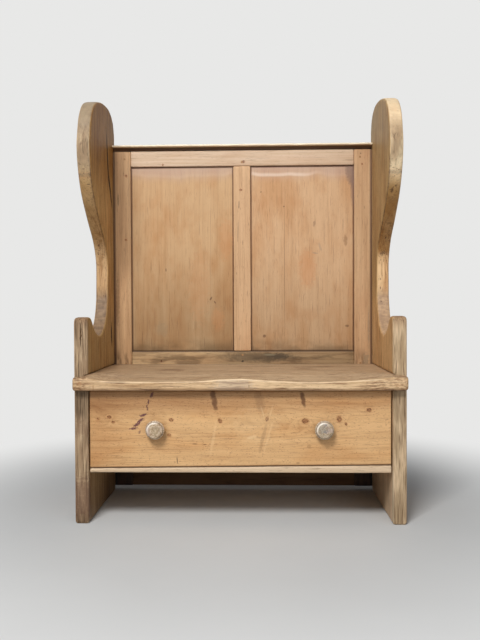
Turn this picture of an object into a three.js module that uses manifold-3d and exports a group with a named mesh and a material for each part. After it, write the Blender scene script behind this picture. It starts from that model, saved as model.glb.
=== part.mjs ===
// Pine settle bench: two slab sides with shaped arms and wings, a plank seat with ears,
// a framed and panelled back under a moulded cap, and one dovetailed drawer on runners.
// Millimetres. X runs along the bench, Y towards the back, Z up, with the floor at zero.
import * as THREE from "three";
import { mergeVertices } from "three/addons/utils/BufferGeometryUtils.js";
import Module from "manifold-3d";

const wasm = await Module();
wasm.setup();

// Whole bench
const settle_width = 1034;
const joint_gap = 0.3;
const overrun = 20;

// Slab sides
const side_height = 1388;
const side_depth = 425;
const side_thickness = 44;
const side_wear = 5;
const arm_height = 646;
const arm_nose = 20;
const hollow_depth = 62.5;
const rebate_width = 24;
const housing_depth = 12;
// Each pair is a share of the slab's depth and a share of the hollow's depth below the arm
const arm_curve_shares = [
  [0.13, 0.05], [0.247, 0.66], [0.405, 1], [0.553, 0.61], [0.65, -0.14], [0.696, -1.06],
];
// Each pair is a share of the slab's depth and a share of the height from arm to top
const wing_curve_shares = [
  [0.701, 0.154], [0.699, 0.255], [0.607, 0.345], [0.433, 0.43], [0.252, 0.531],
  [0.158, 0.625], [0.118, 0.722], [0.136, 0.79], [0.188, 0.875], [0.306, 0.945],
  [0.499, 0.982], [0.676, 0.997], [0.812, 0.997], [0.941, 0.965], [1, 0.895],
];

// Seat plank
const seat_height = 467;
const seat_thickness = 48;
const seat_overhang = 27;
const seat_top_round = 10;
const seat_bottom_round = 4;
const ear_round = 9;
const wear_slope = 12;
const slope_reach = 31;
const wear_reach = 110;
const wear_length = 560;
const wear_drop = 20;
const wear_swell = 3;
const wear_place_shares = [-0.252, 0.218];

// Battens fixed to the slabs under the seat and under the drawer
const cleat_width = 20;
const cleat_height = 25;
const cleat_set_back = 20;
const runner_height = 20;

// Framed back
const frame_thickness = 25;
const frame_side_gap = 1.2;
const wing_rise = 138;
const stile_sight = 64;
const stile_foot = 16;
const top_rail_sight = 58;
const bottom_rail_height = 90;
const bottom_rail_sight = 47;
const muntin_width = 63;
const groove_width = 8;
const groove_depth = 10;
const panel_set_back = 8;
const panel_raise = 4.6;
const panel_bevel = 30;
const tenon_length = 52;
const tenon_shoulder = 14;
const muntin_tenon = 28;
const peg_radius = 4;
const peg_inset = 22;

// Closing boards low down in the back
const low_board_foot = 16;
const low_board_count = 2;

// Moulded cap
const cap_thickness = 18;
const cap_reach = 22;
const cap_nose = 6.5;
const cap_end_gap = 0.6;

// Drawer
const drawer_set_back = 1;
const drawer_end_gap = 4;
const drawer_top_gap = 2;
const drawer_back_gap = 14;
const slide_gap = 0.3;
const front_thickness = 22;
const front_lap = 6;
const lip_foot = 161;
const lip_left = 12.5;
const lip_right = 23.5;
const box_thickness = 14;
const box_lift = 1;
const back_thickness = 12;
const back_drop = 12;
const bottom_thickness = 8;
const bottom_rise = 8;
const bottom_groove = 6;
const front_tails = 4;
const back_tails = 3;
const tail_share = 0.62;
const tail_flare_share = 0.165;

// Turned knobs
const knob_spacing = 522;
const knob_reach = 37;
const knob_radius = 30;
const spigot_radius = 9;
const wedge_thickness = 3;
const wedge_length = 13;
// Each pair is a share of the knob's radius and a share of its reach
const knob_profile_shares = [
  [0, 1], [0.48, 0.985], [0.76, 0.93], [0.867, 0.84], [0.85, 0.8], [0.96, 0.76],
  [1, 0.62], [0.9, 0.46], [0.62, 0.26], [0.5, 0.12], [0.55, 0],
];

// Cut nails
const long_nail = 62;
const batten_nail = 44;
const short_nail = 18;
const nail_head = 4.5;
const nail_head_thickness = 2;
const nail_shank = 2.6;
const nail_tip = 1;
const seat_nail_shares = [0.3, 0.72];
const batten_nail_shares = [0.25, 0.8];
const stile_nail_shares = [0.2, 0.8];
const cap_nail_shares = [-0.38, -0.14, 0.14, 0.38];

// Roundness of turned and curved work
const curve_steps = 4;
const edge_steps = 2;
const turned_sides = 24;
const peg_sides = 8;
const nail_sides = 4;
const wear_sides = 20;

// Places worked out from the sizes above
const half_width = settle_width / 2;
const inner_half = half_width - side_thickness;
const seat_foot = seat_height - seat_thickness;
const frame_front = side_depth - frame_thickness;
const frame_top = side_height - wing_rise;
const stile_edge = inner_half - stile_sight;
const muntin_edge = muntin_width / 2;
const top_rail_foot = frame_top - top_rail_sight;
const bottom_rail_top = seat_height + bottom_rail_sight;
const bottom_rail_foot = bottom_rail_top - bottom_rail_height;
const groove_front = frame_front + panel_set_back;
const groove_back = groove_front + groove_width;
const panel_lap = groove_depth - joint_gap;
const drawer_half = inner_half - drawer_end_gap;
const front_face = drawer_set_back;
const front_back = front_face + front_thickness;
const front_top = seat_foot - drawer_top_gap;
const front_foot_left = lip_foot + lip_left + joint_gap;
const front_foot_right = lip_foot + lip_right + joint_gap;
const box_foot = Math.max(front_foot_left, front_foot_right) + box_lift;
const box_top = seat_foot - cleat_height - drawer_top_gap;
const box_back = frame_front - drawer_back_gap;
const runner_top = box_foot - slide_gap;
const bottom_low = box_foot + bottom_rise;
const bottom_top = bottom_low + bottom_thickness;
const knob_height = (front_top + (front_foot_left + front_foot_right) / 2) / 2;

// Materials
const finishes = {
  slab_pine: [0xb08a58, 0.62],
  seat_pine: [0xb59a72, 0.6],
  back_pine: [0xc09a6a, 0.6],
  drawer_pine: [0xcf9d62, 0.55],
  pale_pine: [0xdcc3a2, 0.6],
  inside_pine: [0xb98f5e, 0.72],
  worn_knob: [0xb5a892, 0.55],
  old_iron: [0x3b3531, 0.6],
};

// Solids and booleans

function solid(geometry) {
  const bare = geometry.clone();
  bare.deleteAttribute("normal");
  bare.deleteAttribute("uv");
  const welded = mergeVertices(bare);
  return new wasm.Manifold(new wasm.Mesh({
    numProp: 3,
    vertProperties: Float32Array.from(welded.attributes.position.array),
    triVerts: Uint32Array.from(welded.index.array),
  }));
}

function geometry_of(body) {
  const mesh = body.getMesh();
  const geometry = new THREE.BufferGeometry();
  geometry.setAttribute("position", new THREE.BufferAttribute(mesh.vertProperties, mesh.numProp));
  geometry.setIndex(new THREE.BufferAttribute(mesh.triVerts, 1));
  geometry.computeVertexNormals();
  return geometry;
}

function without(body, cuts) {
  return cuts.reduce((rest, cut) => rest.subtract(cut), body);
}

function joined(body, additions) {
  return additions.reduce((whole, piece) => whole.add(piece), body);
}

function block(x0, x1, y0, y1, z0, z1) {
  const box = new THREE.BoxGeometry(x1 - x0, y1 - y0, z1 - z0);
  box.translate((x0 + x1) / 2, (y0 + y1) / 2, (z0 + z1) / 2);
  return solid(box);
}

function mirrored(body) {
  const geometry = geometry_of(body);
  geometry.scale(-1, 1, 1);
  const turned = geometry.index.array;
  for (let i = 0; i < turned.length; i += 3) {
    [turned[i + 1], turned[i + 2]] = [turned[i + 2], turned[i + 1]];
  }
  return solid(geometry);
}

const axes = {
  x: [new THREE.Vector3(0, 1, 0), new THREE.Vector3(0, 0, 1), new THREE.Vector3(1, 0, 0)],
  y: [new THREE.Vector3(-1, 0, 0), new THREE.Vector3(0, 0, 1), new THREE.Vector3(0, 1, 0)],
  z: [new THREE.Vector3(1, 0, 0), new THREE.Vector3(0, 1, 0), new THREE.Vector3(0, 0, 1)],
};

// A flat outline drawn across one axis and carried along it from low to high.
// Across x the outline holds (y, z), across y it holds (-x, z), across z it holds (x, y).
function carried(outline, axis, low, high, settings = {}) {
  const geometry = new THREE.ExtrudeGeometry(outline, {
    depth: high - low, bevelEnabled: false, curveSegments: curve_steps, ...settings,
  });
  geometry.translate(0, 0, low);
  geometry.applyMatrix4(new THREE.Matrix4().makeBasis(...axes[axis]));
  return solid(geometry);
}

function outline_of(points) {
  return new THREE.Shape(points.map(([a, b]) => new THREE.Vector2(a, b)));
}

// A rectangle whose four corners are rounded, each corner with its own radius
function rounded_outline(a0, a1, b0, b1, [low_left, low_right, high_right, high_left]) {
  const shape = new THREE.Shape();
  shape.moveTo(a0 + low_left, b0);
  shape.lineTo(a1 - low_right, b0);
  shape.quadraticCurveTo(a1, b0, a1, b0 + low_right);
  shape.lineTo(a1, b1 - high_right);
  shape.quadraticCurveTo(a1, b1, a1 - high_right, b1);
  shape.lineTo(a0 + high_left, b1);
  shape.quadraticCurveTo(a0, b1, a0, b1 - high_left);
  shape.lineTo(a0, b0 + low_left);
  shape.quadraticCurveTo(a0, b0, a0 + low_left, b0);
  return shape;
}

// Fasteners: each is drawn along +Z with its head at zero, and cut holes use the same shape

function turned_profile(points, sides) {
  return new THREE.LatheGeometry(points.map(([r, z]) => new THREE.Vector2(r, z)), sides)
    .rotateX(Math.PI / 2);
}

function nail_geometry(length, grow) {
  return turned_profile([
    [0, -length - grow],
    [nail_tip + grow, -length - grow],
    [nail_shank + grow, -nail_head_thickness - grow],
    [nail_head + grow, -nail_head_thickness - grow],
    [nail_head + grow, grow ? overrun : 0],
    [0, grow ? overrun : 0],
  ], nail_sides);
}

function peg_geometry(grow) {
  const end = grow ? overrun : 0;
  return turned_profile([
    [0, -frame_thickness - end], [peg_radius + grow, -frame_thickness - end],
    [peg_radius + grow, end], [0, end],
  ], peg_sides);
}

const headings = {
  up: [0, 0, 0],
  front: [Math.PI / 2, 0, 0],
  back: [-Math.PI / 2, 0, 0],
  left: [0, -Math.PI / 2, 0],
  right: [0, Math.PI / 2, 0],
};

// Where each fastener sits: its head's place, the way that the head faces and its length
const pegs = {};
const nails = {};

function place_side_fasteners(side, sign) {
  const top_peg = frame_top - top_rail_sight / 2;
  const low_peg = bottom_rail_top - bottom_rail_height / 2;
  const inward = sign > 0 ? "left" : "right";
  pegs[`peg_top_${side}`] = [sign * (stile_edge + peg_inset), frame_front, top_peg];
  pegs[`peg_bottom_${side}`] = [sign * (stile_edge + peg_inset), frame_front, low_peg];
  seat_nail_shares.forEach((share, i) => {
    const place = [sign * half_width, side_depth * share, seat_height - seat_thickness / 2];
    nails[`seat_nail_${side}_${i + 1}`] = { place, heading: side, length: long_nail };
  });
  stile_nail_shares.forEach((share, i) => {
    const x = sign * (inner_half + (rebate_width - frame_side_gap) / 2);
    const place = [x, side_depth, frame_top * share];
    nails[`stile_nail_${side}_${i + 1}`] = { place, heading: "back", length: long_nail };
  });
  batten_nail_shares.forEach((share, i) => {
    const x = sign * (inner_half - cleat_width);
    const cleat = [x, side_depth * share, seat_foot - cleat_height / 2];
    const runner = [x, side_depth * share, runner_top - runner_height / 2];
    nails[`cleat_nail_${side}_${i + 1}`] = { place: cleat, heading: inward, length: batten_nail };
    nails[`runner_nail_${side}_${i + 1}`] = { place: runner, heading: inward, length: batten_nail };
  });
  for (let i = 0; i < low_board_count; i += 1) {
    const place = [sign * (stile_edge + panel_lap / 2), side_depth, low_board_top(i + 1 / 2)];
    nails[`board_nail_${side}_${i + 1}`] = { place, heading: "back", length: short_nail };
  }
}

function place_fasteners() {
  place_side_fasteners("left", -1);
  place_side_fasteners("right", 1);
  pegs.peg_muntin_top = [0, frame_front, top_rail_foot + muntin_tenon / 2];
  pegs.peg_muntin_bottom = [0, frame_front, bottom_rail_top - muntin_tenon / 2];
  cap_nail_shares.forEach((share, i) => {
    const place = [settle_width * share, frame_front + frame_thickness / 2, frame_top + cap_thickness];
    nails[`cap_nail_${i + 1}`] = { place, heading: "up", length: long_nail };
  });
}

function set_down(geometry, place, heading) {
  const [a, b, c] = headings[heading];
  return geometry.rotateX(a).rotateY(b).rotateZ(c).translate(...place);
}

function nail_holes(prefix) {
  return Object.entries(nails)
    .filter(([name]) => name.startsWith(prefix))
    .map(([, { place, heading, length }]) =>
      solid(set_down(nail_geometry(length, joint_gap), place, heading)));
}

function peg_holes(prefix) {
  return Object.entries(pegs)
    .filter(([name]) => name.startsWith(prefix))
    .map(([, place]) => solid(set_down(peg_geometry(joint_gap), place, "front")));
}

// Slab sides

function side_outline() {
  const wing_height = side_height - arm_height;
  const shape = new THREE.Shape();
  shape.moveTo(0, 0);
  shape.lineTo(0, arm_height - arm_nose);
  shape.quadraticCurveTo(0, arm_height, arm_nose, arm_height);
  shape.splineThru(arm_curve_shares.map(([depth, drop]) =>
    new THREE.Vector2(side_depth * depth, arm_height - hollow_depth * drop)));
  shape.splineThru(wing_curve_shares.map(([depth, rise]) =>
    new THREE.Vector2(side_depth * depth, arm_height + wing_height * rise)));
  shape.lineTo(side_depth, 0);
  return shape;
}

function side_right() {
  const slab = carried(side_outline(), "x", inner_half + side_wear, half_width - side_wear, {
    bevelEnabled: true,
    bevelThickness: side_wear,
    bevelSize: side_wear,
    bevelOffset: -side_wear,
    bevelSegments: edge_steps,
  });
  const rebate = block(
    inner_half - overrun, inner_half + rebate_width,
    frame_front - joint_gap, side_depth + overrun, -overrun, frame_top + joint_gap,
  );
  const housing = block(
    inner_half - overrun, inner_half + housing_depth,
    -overrun, frame_front, seat_foot - joint_gap, seat_height + joint_gap,
  );
  const holes = ["seat", "stile", "cleat", "runner"].flatMap((kind) => nail_holes(`${kind}_nail_right`));
  return without(slab, [rebate, housing, ...holes]);
}

// Seat plank: sitters have worn its front arris to a slope, with two long hollows behind it. Its
// tongues lie in the slabs' housings and keep the plank's first height.

function seat_board() {
  const front = -seat_overhang;
  const back = frame_front - joint_gap;
  const tongue_half = inner_half + housing_depth - joint_gap;
  const ears = rounded_outline(-half_width, half_width, front, -joint_gap, [ear_round, ear_round, 0, 0]);
  const ear_ends = rounded_outline(-half_width, half_width, seat_foot, worn_height(0),
    [ear_round, ear_round, ear_round, ear_round]);
  const ear_strip = carried(ears, "z", seat_foot, seat_height)
    .intersect(carried(ear_ends, "y", front - overrun, overrun));
  const plank = joined(ear_strip, [
    block(-tongue_half, tongue_half, front + ear_round, back, seat_foot, seat_height),
  ]).intersect(carried(worn_outline(front, back), "x", -half_width - overrun, half_width + overrun));
  const tongues = [
    block(-tongue_half, -inner_half, 0, back, seat_foot, seat_height),
    block(inner_half, tongue_half, 0, back, seat_foot, seat_height),
  ];
  const holes = [...nail_holes("seat_nail_left"), ...nail_holes("seat_nail_right")];
  return without(joined(without(plank, worn_hollows(front)), tongues), holes);
}

function worn_height(y) {
  return seat_height - wear_slope * (1 - (y + seat_overhang) / slope_reach);
}

function worn_outline(front, back) {
  const shape = new THREE.Shape();
  shape.moveTo(front + seat_bottom_round, seat_foot);
  shape.lineTo(back, seat_foot);
  shape.lineTo(back, seat_height);
  shape.lineTo(front + slope_reach, seat_height);
  shape.lineTo(front + seat_top_round, worn_height(front + seat_top_round));
  shape.quadraticCurveTo(front, worn_height(front), front, worn_height(front) - seat_top_round);
  shape.lineTo(front, seat_foot + seat_bottom_round);
  shape.quadraticCurveTo(front, seat_foot, front + seat_bottom_round, seat_foot);
  return shape;
}

function worn_hollows(front) {
  const swell = wear_drop * wear_swell;
  const spread = Math.sqrt(1 - (1 - 1 / wear_swell) ** 2);
  return wear_place_shares.map((share) => {
    const hollow = new THREE.SphereGeometry(1, wear_sides, wear_sides);
    hollow.rotateX(Math.PI / 2);
    hollow.scale(wear_length / 2 / spread, wear_reach / spread, swell);
    hollow.translate(settle_width * share, front, seat_height + swell - wear_drop);
    return solid(hollow);
  });
}

// Battens: seat cleats, which also keep the open drawer from tipping, and drawer runners

function cleat_right() {
  return without(block(
    inner_half - cleat_width, inner_half - joint_gap, front_back + cleat_set_back, box_back,
    seat_foot - cleat_height, seat_foot - joint_gap,
  ), nail_holes("cleat_nail_right"));
}

function runner_right() {
  return without(block(
    inner_half - cleat_width, inner_half - joint_gap, front_back + joint_gap, box_back,
    runner_top - runner_height, runner_top,
  ), nail_holes("runner_nail_right"));
}

// Framed back: tongues and tenons on the rails and muntin fit grooves and mortises

function groove(x0, x1, z0, z1) {
  return block(x0, x1, groove_front, groove_back, z0, z1);
}

function tongue(x0, x1, z0, z1) {
  return block(x0, x1, groove_front + joint_gap, groove_back - joint_gap, z0, z1);
}

function rail_tenon(grow, z_low, z_high) {
  const reach = stile_edge + tenon_length + grow;
  return [z_low + tenon_shoulder - grow, z_high - tenon_shoulder + grow, reach];
}

function stile_right() {
  const outer = inner_half + rebate_width - frame_side_gap;
  const stile = block(stile_edge, outer, frame_front, side_depth, stile_foot, frame_top);
  const [top_low, top_high, reach] = rail_tenon(joint_gap, top_rail_foot, frame_top);
  const [low_low, low_high] = rail_tenon(joint_gap, bottom_rail_foot, bottom_rail_top);
  const edge = stile_edge - overrun;
  return without(stile, [
    groove(edge, stile_edge + groove_depth, stile_foot - overrun, frame_top + overrun),
    groove(edge, reach, top_low, top_high),
    groove(edge, reach, low_low, low_high),
    ...peg_holes("peg_top_right"), ...peg_holes("peg_bottom_right"),
    ...nail_holes("stile_nail_right"), ...nail_holes("board_nail_right"),
  ]);
}

function rail(z_low, z_high) {
  const shoulder = stile_edge - joint_gap;
  const [tenon_low, tenon_high, reach] = rail_tenon(0, z_low, z_high);
  return joined(block(-shoulder, shoulder, frame_front, side_depth, z_low, z_high), [
    tongue(-stile_edge - panel_lap, stile_edge + panel_lap, z_low, z_high),
    tongue(-reach, reach, tenon_low, tenon_high),
  ]);
}

function top_rail() {
  const slot = top_rail_foot + groove_depth;
  const mortise = top_rail_foot + muntin_tenon + joint_gap;
  return without(rail(top_rail_foot, frame_top), [
    groove(-half_width, half_width, top_rail_foot - overrun, slot),
    groove(-muntin_edge, muntin_edge, top_rail_foot - overrun, mortise),
    ...peg_holes("peg_"), ...nail_holes("cap_nail"),
  ]);
}

function bottom_rail() {
  const slot = bottom_rail_top - groove_depth;
  const mortise = bottom_rail_top - muntin_tenon - joint_gap;
  return without(rail(bottom_rail_foot, bottom_rail_top), [
    groove(-half_width, half_width, slot, bottom_rail_top + overrun),
    groove(-half_width, half_width, bottom_rail_foot - overrun, bottom_rail_foot + groove_depth),
    groove(-muntin_edge, muntin_edge, mortise, bottom_rail_top + overrun),
    ...peg_holes("peg_"),
  ]);
}

function muntin() {
  const low = bottom_rail_top + joint_gap;
  const high = top_rail_foot - joint_gap;
  const half = muntin_edge - joint_gap;
  const tenon_foot = bottom_rail_top - muntin_tenon;
  const tenon_top = top_rail_foot + muntin_tenon;
  const tenon = tongue(-half, half, tenon_foot, tenon_top);
  const post = block(-muntin_edge, muntin_edge, frame_front, side_depth, low, high);
  const slots = [-muntin_edge, muntin_edge].map((edge) =>
    groove(edge - groove_depth, edge + groove_depth, tenon_foot - overrun, tenon_top + overrun));
  return without(joined(post, [tenon]), [...slots, ...peg_holes("peg_muntin")]);
}

// A panel is flat in front and raised behind, with its thin edges in the grooves
function panel_right() {
  const x0 = muntin_edge + joint_gap;
  const x1 = stile_edge - joint_gap;
  const z0 = bottom_rail_top + joint_gap;
  const z1 = top_rail_foot - joint_gap;
  const edges = tongue(
    muntin_edge - panel_lap, stile_edge + panel_lap,
    bottom_rail_top - panel_lap, top_rail_foot + panel_lap,
  );
  const outline = outline_of([
    [-x1 + panel_bevel, z0 + panel_bevel], [-x0 - panel_bevel, z0 + panel_bevel],
    [-x0 - panel_bevel, z1 - panel_bevel], [-x1 + panel_bevel, z1 - panel_bevel],
  ]);
  const front = groove_front + joint_gap;
  const raised = carried(outline, "y", front, groove_back - joint_gap, {
    bevelEnabled: true, bevelThickness: panel_raise, bevelSize: panel_bevel, bevelSegments: 1,
  });
  const shaved = block(x0, x1, front - overrun, front, z0, z1);
  return joined(edges, [raised.subtract(shaved)]);
}

function low_board_top(index) {
  const top = bottom_rail_foot + panel_lap;
  return top - index * (top - low_board_foot) / low_board_count;
}

function low_board(index) {
  const half = stile_edge + panel_lap;
  const board = tongue(-half, half, low_board_top(index + 1) + joint_gap, low_board_top(index));
  return without(board, nail_holes("board_nail"));
}

// Cap: a thin rounded nose over a cove, between the slabs
function back_cap() {
  const top = frame_top + cap_thickness;
  const nose = frame_front - cap_reach;
  const under = top - cap_nose;
  const foot = frame_top + joint_gap;
  const shape = new THREE.Shape();
  shape.moveTo(side_depth, foot);
  shape.lineTo(side_depth, top);
  shape.lineTo(nose + cap_nose / 2, top);
  shape.absarc(nose + cap_nose / 2, top - cap_nose / 2, cap_nose / 2, Math.PI / 2, Math.PI * 1.5, false);
  shape.lineTo(nose + cap_nose, under);
  shape.quadraticCurveTo(frame_front - cap_nose / 2, under, frame_front, foot);
  const half = inner_half - cap_end_gap;
  return without(carried(shape, "x", -half, half), nail_holes("cap_nail"));
}

// Drawer: tails on its sides fit lapped sockets in the front and open sockets in the back

function tail_outline(root, tip, middle, height, grow) {
  const way = Math.sign(tip - root);
  const spread = tail_flare_share * Math.abs(tip - root);
  const low = height / 2 + grow;
  const wide = low + spread;
  return outline_of([
    [root - way * grow * 2, middle - low], [root - way * grow * 2, middle + low],
    [tip + way * grow, middle + wide], [tip + way * grow, middle - wide],
  ]);
}

function tails(count, root, tip, low, high, x0, x1, grow) {
  const pitch = (high - low) / count;
  const height = pitch * tail_share;
  return Array.from({ length: count }, (_, i) =>
    carried(tail_outline(root, tip, low + pitch * (i + 1 / 2), height, grow), "x", x0, x1));
}

function back_sockets(x0, x1, grow, extra) {
  const root = box_back - back_thickness;
  return tails(back_tails, root, box_back + extra, bottom_top, box_top - back_drop, x0, x1, grow);
}

function drawer_side_right() {
  const x0 = drawer_half - box_thickness;
  const lap = front_face + front_lap;
  const body = block(x0, drawer_half, front_back, box_back - back_thickness, box_foot, box_top);
  const board = joined(body, [
    ...tails(front_tails, front_back, lap, box_foot, box_top, x0, drawer_half, 0),
    ...back_sockets(x0, drawer_half, 0, 0),
  ]);
  const slot = block(
    x0 - overrun, x0 + bottom_groove, front_face, box_back + overrun, bottom_low, bottom_top,
  );
  return board.subtract(slot);
}

function drawer_front() {
  const board = carried(outline_of([
    [-drawer_half, front_foot_right], [drawer_half, front_foot_left],
    [drawer_half, front_top], [-drawer_half, front_top],
  ]), "y", front_face, front_back);
  const lap = front_face + front_lap;
  const inner = drawer_half - box_thickness - joint_gap;
  const outer = drawer_half + overrun;
  const right = tails(front_tails, front_back, lap, box_foot, box_top, inner, outer, joint_gap);
  const left = tails(front_tails, front_back, lap, box_foot, box_top, -outer, -inner, joint_gap);
  const slot_front = front_back - bottom_groove;
  const slot_half = drawer_half - box_thickness + bottom_groove;
  const slot = block(-slot_half, slot_half, slot_front, front_back + overrun, bottom_low, bottom_top);
  return without(board, [...right, ...left, slot, ...knob_bores()]);
}

function drawer_back() {
  const root = box_back - back_thickness;
  const half = drawer_half;
  const low = bottom_top + joint_gap;
  const high = box_top - back_drop;
  const inner = half - box_thickness - joint_gap;
  const board = block(-half, half, root + joint_gap, box_back, low, high);
  return without(board, [
    ...back_sockets(inner, half + overrun, joint_gap, joint_gap),
    ...back_sockets(-half - overrun, -inner, joint_gap, joint_gap),
  ]);
}

function drawer_bottom(from_share, to_share) {
  const half = drawer_half - box_thickness + bottom_groove - joint_gap;
  const front = front_back - bottom_groove + joint_gap;
  const reach = box_back - front;
  return block(
    -half, half, front + reach * from_share, front + reach * to_share - joint_gap,
    bottom_low + joint_gap, bottom_top - joint_gap,
  );
}

// The strip let in under the drawer front tapers with the front's sloping foot
function drawer_lip() {
  return carried(outline_of([
    [-drawer_half, lip_foot], [drawer_half, lip_foot],
    [drawer_half, lip_foot + lip_left], [-drawer_half, lip_foot + lip_right],
  ]), "y", front_face, front_back);
}

// Knobs: turned in one piece, with a spigot through the front that a wedge spreads behind

function knob_profile() {
  const turned = knob_profile_shares.map(([r, reach]) =>
    [knob_radius * r, Math.max(knob_reach * reach, joint_gap)]);
  const spigot = [[spigot_radius, joint_gap], [spigot_radius, -front_thickness], [0, -front_thickness]];
  return [...turned, ...spigot].reverse();
}

function knob_geometry() {
  const kerf_half = wedge_thickness / 2 + joint_gap;
  const kerf = block(
    -overrun, overrun, front_thickness - wedge_length - joint_gap, front_thickness + overrun,
    -kerf_half, kerf_half,
  );
  const turned = solid(turned_profile(knob_profile(), turned_sides).rotateX(Math.PI / 2));
  return geometry_of(turned.subtract(kerf));
}

function wedge_geometry() {
  const half = wedge_thickness / 2;
  const width = spigot_radius - joint_gap;
  const outline = outline_of([
    [front_thickness - wedge_length, -half / 2], [front_thickness, -half],
    [front_thickness, half], [front_thickness - wedge_length, half / 2],
  ]);
  return geometry_of(carried(outline, "x", -width, width));
}

function knob_bores() {
  return [-1, 1].map((sign) => {
    const radius = spigot_radius + joint_gap;
    const bore = new THREE.CylinderGeometry(radius, radius, front_thickness + overrun, turned_sides);
    return solid(bore.translate(sign * knob_spacing / 2, front_face + front_thickness / 2, knob_height));
  });
}

// Assembly

const settle = new THREE.Group();
const carcass = new THREE.Group();
const drawer = new THREE.Group();
settle.add(carcass, drawer);
settle.position.y = (knob_reach - front_face - side_depth) / 2;

function add(group, name, finish, geometry, place = [0, 0, 0], heading = "up") {
  const [color, roughness] = finishes[finish];
  const material = new THREE.MeshStandardMaterial({ color, roughness, metalness: 0 });
  const mesh = new THREE.Mesh(geometry, material);
  mesh.name = name;
  mesh.position.set(...place);
  mesh.rotation.set(...headings[heading]);
  group.add(mesh);
}

function add_solid(group, name, finish, body) {
  add(group, name, finish, geometry_of(body));
}

function add_pair(group, name, finish, right_body) {
  add_solid(group, `${name}_right`, finish, right_body);
  add_solid(group, `${name}_left`, finish, mirrored(right_body));
}

place_fasteners();

add_pair(carcass, "side", "slab_pine", side_right());
add_solid(carcass, "seat_board", "seat_pine", seat_board());
add_pair(carcass, "seat_cleat", "inside_pine", cleat_right());
add_pair(carcass, "drawer_runner", "inside_pine", runner_right());
add_pair(carcass, "back_stile", "back_pine", stile_right());
add_solid(carcass, "back_top_rail", "back_pine", top_rail());
add_solid(carcass, "back_bottom_rail", "back_pine", bottom_rail());
add_solid(carcass, "back_muntin", "back_pine", muntin());
add_pair(carcass, "back_panel", "back_pine", panel_right());
add_solid(carcass, "back_cap", "back_pine", back_cap());
for (let i = 0; i < low_board_count; i += 1) {
  add_solid(carcass, `low_back_board_${i + 1}`, "inside_pine", low_board(i));
}
for (const [name, place] of Object.entries(pegs)) {
  add(carcass, name, "inside_pine", peg_geometry(0), place, "front");
}
for (const [name, { place, heading, length }] of Object.entries(nails)) {
  add(carcass, name, "old_iron", nail_geometry(length, 0), place, heading);
}

add_solid(drawer, "drawer_front", "drawer_pine", drawer_front());
add_solid(drawer, "drawer_lip", "pale_pine", drawer_lip());
add_pair(drawer, "drawer_side", "inside_pine", drawer_side_right());
add_solid(drawer, "drawer_back", "inside_pine", drawer_back());
add_solid(drawer, "drawer_bottom_front", "inside_pine", drawer_bottom(0, 1 / 2));
add_solid(drawer, "drawer_bottom_rear", "inside_pine", drawer_bottom(1 / 2, 1));
for (const [side, sign] of [["left", -1], ["right", 1]]) {
  const place = [sign * knob_spacing / 2, front_face, knob_height];
  add(drawer, `knob_${side}`, "worn_knob", knob_geometry(), place);
  add(drawer, `knob_wedge_${side}`, "inside_pine", wedge_geometry(), place);
}

export default settle;
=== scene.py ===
# %% [markdown]
# # An old pine settle
#
# The settle is a high-backed bench: two winged slab sides, a plank seat, a framed back
# with two panels, and a wide drawer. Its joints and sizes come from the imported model.
# This script gives it its looks: worn edges, grain, knots, stains and old wax. The first
# step loads the model and keeps its box, because the looks may not outgrow it.

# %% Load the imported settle
import math
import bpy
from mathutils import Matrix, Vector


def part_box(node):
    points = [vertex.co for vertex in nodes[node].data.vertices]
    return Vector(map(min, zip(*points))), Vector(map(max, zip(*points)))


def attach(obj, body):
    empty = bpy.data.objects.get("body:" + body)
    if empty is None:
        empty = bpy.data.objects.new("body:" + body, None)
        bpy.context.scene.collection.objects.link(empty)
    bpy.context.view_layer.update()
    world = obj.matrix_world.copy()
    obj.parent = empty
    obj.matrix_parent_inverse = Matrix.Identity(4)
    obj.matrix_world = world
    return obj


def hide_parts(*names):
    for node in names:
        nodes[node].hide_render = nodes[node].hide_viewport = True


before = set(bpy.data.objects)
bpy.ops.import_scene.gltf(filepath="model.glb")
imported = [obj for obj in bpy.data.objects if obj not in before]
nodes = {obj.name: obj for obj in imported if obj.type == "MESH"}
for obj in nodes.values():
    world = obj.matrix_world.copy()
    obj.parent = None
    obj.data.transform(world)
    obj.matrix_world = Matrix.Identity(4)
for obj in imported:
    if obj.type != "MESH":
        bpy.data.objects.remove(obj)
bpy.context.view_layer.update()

from types import SimpleNamespace

import bmesh
import bpy
import numpy as np
from mathutils import Vector

# %% [markdown]
# ## Places on the settle
#
# Pieces and their edges are placed from the model's own boxes, in metres. X runs along
# the bench, -Y is the front and Z is up. Marks in the wood, such as knots, are listed in
# millimetres.

# %% Name the places
slab_low, slab_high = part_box("side_right")
seat_low, seat_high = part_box("seat_board")
front_low, front_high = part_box("drawer_front")
cap_low, cap_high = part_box("back_cap")
rail_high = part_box("back_bottom_rail")[1]
top_rail_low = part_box("back_top_rail")[0]
panel_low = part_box("back_panel_right")[0]
muntin_low, muntin_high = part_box("back_muntin")
knob_low, knob_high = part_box("knob_right")
inner_x, outer_x = slab_low.x, slab_high.x
slab_front = slab_low.y
frame_front = muntin_low.y
seat_top = seat_high.z
mm = 0.001
print("seat at", round(seat_top, 3), "between sides", round(2 * inner_x, 3))

# %% [markdown]
# ## The camera
#
# The photograph was taken from a little right of the middle, at about the height of the
# arms. A focal length and a distance were worked out together from the places of the
# corners. The picture is taller than wide, so the sensor's long side is its height.

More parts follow.
